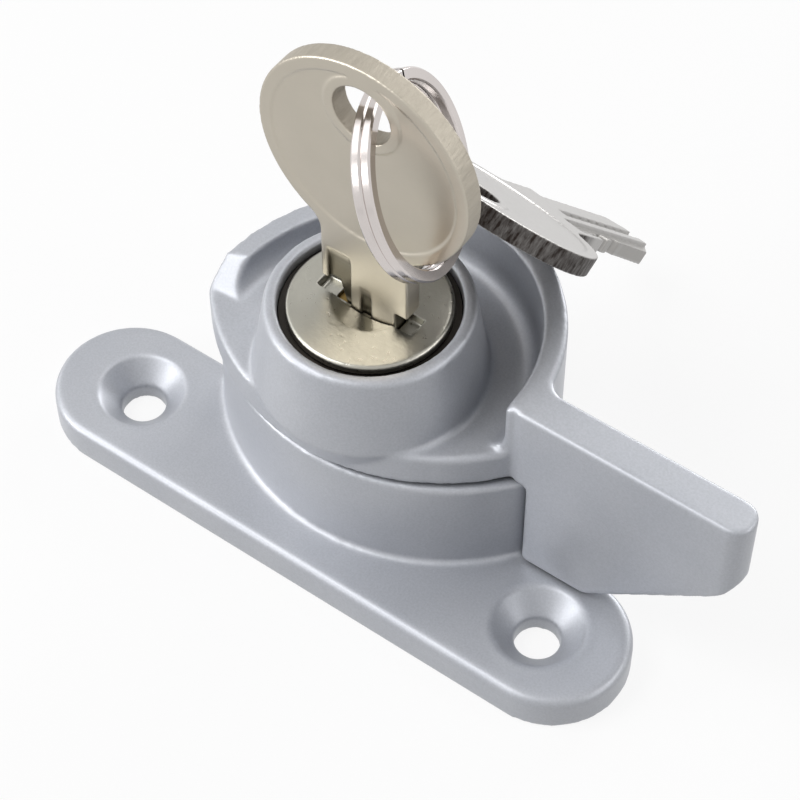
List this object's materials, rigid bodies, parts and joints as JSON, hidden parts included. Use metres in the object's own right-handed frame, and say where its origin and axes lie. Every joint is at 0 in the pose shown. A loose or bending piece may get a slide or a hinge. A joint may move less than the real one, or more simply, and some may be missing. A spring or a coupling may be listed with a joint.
{
  "type": "sliding window lock",
  "caption": "Keyed crescent lock for a sliding window: base plate with boss, turning crescent handle, lock cylinder, key, split ring and spare key.",
  "frame": {"origin": "on the back of the base plate, halfway between the two screw holes", "axes": "X along the base plate towards the lever, +Y towards the crescent's overhang, +Z away from the window frame along the pivot"},
  "size_m": [0.0769, 0.0542, 0.0608],
  "materials": {
    "base_casting": "satin silver lacquer on a zinc die casting",
    "handle_casting": "satin silver lacquer on a zinc die casting",
    "plated_housing": "bright nickel plate",
    "plated_plug": "bright nickel plate",
    "plated_key": "satin nickel plate",
    "plated_ring": "bright nickel plate",
    "zinc_plated_steel": "bright zinc plate",
    "spring_steel": "oiled spring steel",
    "wafer_brass": "stamped brass"
  },
  "bodies": {
    "base": {"base_casting": "base_casting"},
    "handle": {"handle_casting": "handle_casting", "spring_washer": "spring_steel", "thrust_washer": "zinc_plated_steel", "retaining_ring": "spring_steel", "cylinder_housing": "plated_housing", "cylinder_pin": "zinc_plated_steel"},
    "plug": {"lock_plug": "plated_plug", "plug_clip": "spring_steel", "wafer_1": "wafer_brass", "wafer_2": "wafer_brass", "wafer_3": "wafer_brass", "wafer_4": "wafer_brass", "wafer_5": "wafer_brass", "wafer_spring_1": "spring_steel", "wafer_spring_2": "spring_steel", "wafer_spring_3": "spring_steel", "wafer_spring_4": "spring_steel", "wafer_spring_5": "spring_steel", "key_in_lock": "plated_key"},
    "bolt": {"lock_bolt": "zinc_plated_steel"},
    "ring": {"key_ring": "plated_ring"},
    "spare": {"spare_key": "plated_key"}
  },
  "joints": [
    {"name": "handle_turn", "type": "hinge", "parent": "base", "child": "handle", "pos_m": [0, 0.0068, 0], "axis": [0, 0, 1], "range_deg": [-180, 0]},
    {"name": "key_turn", "type": "hinge", "parent": "handle", "child": "plug", "pos_m": [0, 0.0068, 0], "axis": [0, 0, 1], "range_deg": [0, 90]},
    {"name": "bolt_slide", "type": "slide", "parent": "handle", "child": "bolt", "axis": [1, 0, 0], "range_m": [0, 0.00283]},
    {"name": "ring_swing", "type": "hinge", "parent": "plug", "child": "ring", "pos_m": [0.0001, 0.0068, 0.0554], "axis": [0, 1, 0], "range_deg": [-150, 0]},
    {"name": "spare_key_swing", "type": "hinge", "parent": "ring", "child": "spare", "pos_m": [0.00416, 0.01533, 0.0397], "axis": [-0.482, 0.703, 0.523], "range_deg": [-55, 0]}
  ],
  "couplings": [
    {"joint": "bolt_slide", "follows": "key_turn", "m_per_rad": 0.0018006}
  ]
}
